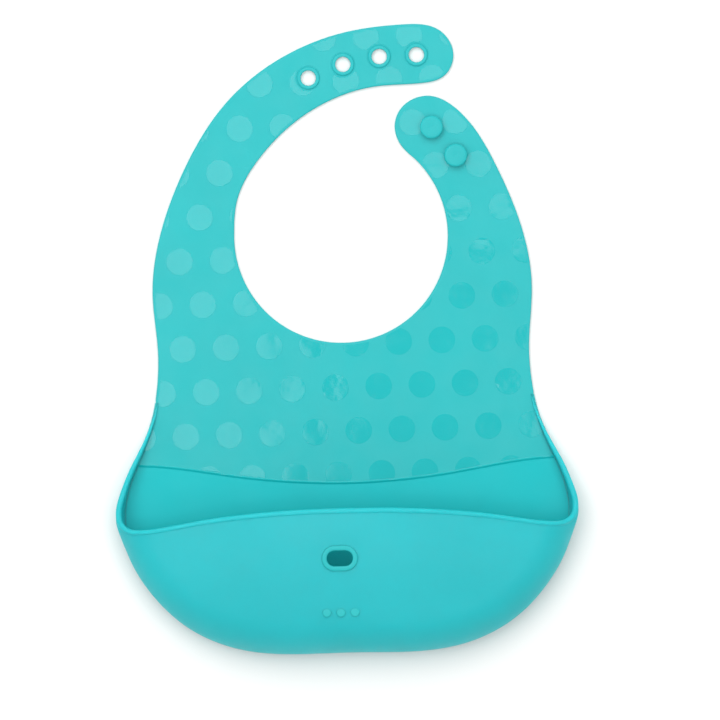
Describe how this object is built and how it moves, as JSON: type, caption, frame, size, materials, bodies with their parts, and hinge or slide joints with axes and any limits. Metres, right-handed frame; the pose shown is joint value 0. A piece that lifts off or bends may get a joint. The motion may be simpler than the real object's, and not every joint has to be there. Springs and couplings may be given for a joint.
{
  "type": "silicone bib",
  "caption": "Soft silicone baby bib with a stand-open catch pocket, an adjustable neck strap with round studs and ringed holes, and a storage slot.",
  "frame": {"origin": "on the plane that the bib lies on, under the middle of its bounding box", "axes": "+Z out of the bib's front face, +Y towards the neck straps, +X towards the right as the front is looked at"},
  "size_m": [0.2308, 0.3134, 0.0393],
  "materials": {
    "silicone": "matte moulded silicone with polished dots"
  },
  "bodies": {
    "chest": {"chest_panel": "silicone"},
    "pocket": {"pocket_panel": "silicone", "pocket_back_wall": "silicone", "pocket_foot": "silicone", "left_gusset": "silicone", "right_gusset": "silicone", "left_rim_bead": "silicone", "right_rim_bead": "silicone"},
    "pocket_front": {"front_wall": "silicone", "lip_bead": "silicone", "storage_slot_ring": "silicone", "emblem_dots": "silicone"},
    "stud_strap": {"stud_strap": "silicone", "upper_stud_neck": "silicone", "upper_stud_head": "silicone", "lower_stud_neck": "silicone", "lower_stud_head": "silicone"},
    "hole_strap": {"hole_strap_lower": "silicone"},
    "hole_strap_tip": {"hole_strap_tip": "silicone", "hole_ring_1": "silicone", "hole_ring_2": "silicone", "hole_ring_3": "silicone", "hole_ring_4": "silicone"}
  },
  "joints": [
    {"name": "pocket_fold", "type": "hinge", "parent": "chest", "child": "pocket", "pos_m": [0, -0.02, 0.0009], "axis": [-1, 0, 0], "range_deg": [-90, 100], "stiffness_Nm_per_rad": 0.01},
    {"name": "pocket_mouth_flex", "type": "hinge", "parent": "pocket", "child": "pocket_front", "pos_m": [0, -0.15, 0.0018], "axis": [1, 0, 0], "range_deg": [-12, 10], "stiffness_Nm_per_rad": 0.3},
    {"name": "stud_strap_bend", "type": "hinge", "parent": "chest", "child": "stud_strap", "pos_m": [0.068, 0.061, 0.0009], "axis": [-1, 0, 0], "range_deg": [-90, 90], "stiffness_Nm_per_rad": 0.003},
    {"name": "hole_strap_bend", "type": "hinge", "parent": "chest", "child": "hole_strap", "pos_m": [-0.068, 0.061, 0.0009], "axis": [-1, 0, 0], "range_deg": [-90, 90], "stiffness_Nm_per_rad": 0.004},
    {"name": "hole_strap_tip_bend", "type": "hinge", "parent": "hole_strap", "child": "hole_strap_tip", "pos_m": [-0.0345, 0.1195, 0.0009], "axis": [-0.5948, 0.8039, 0], "range_deg": [-90, 90], "stiffness_Nm_per_rad": 0.003}
  ]
}
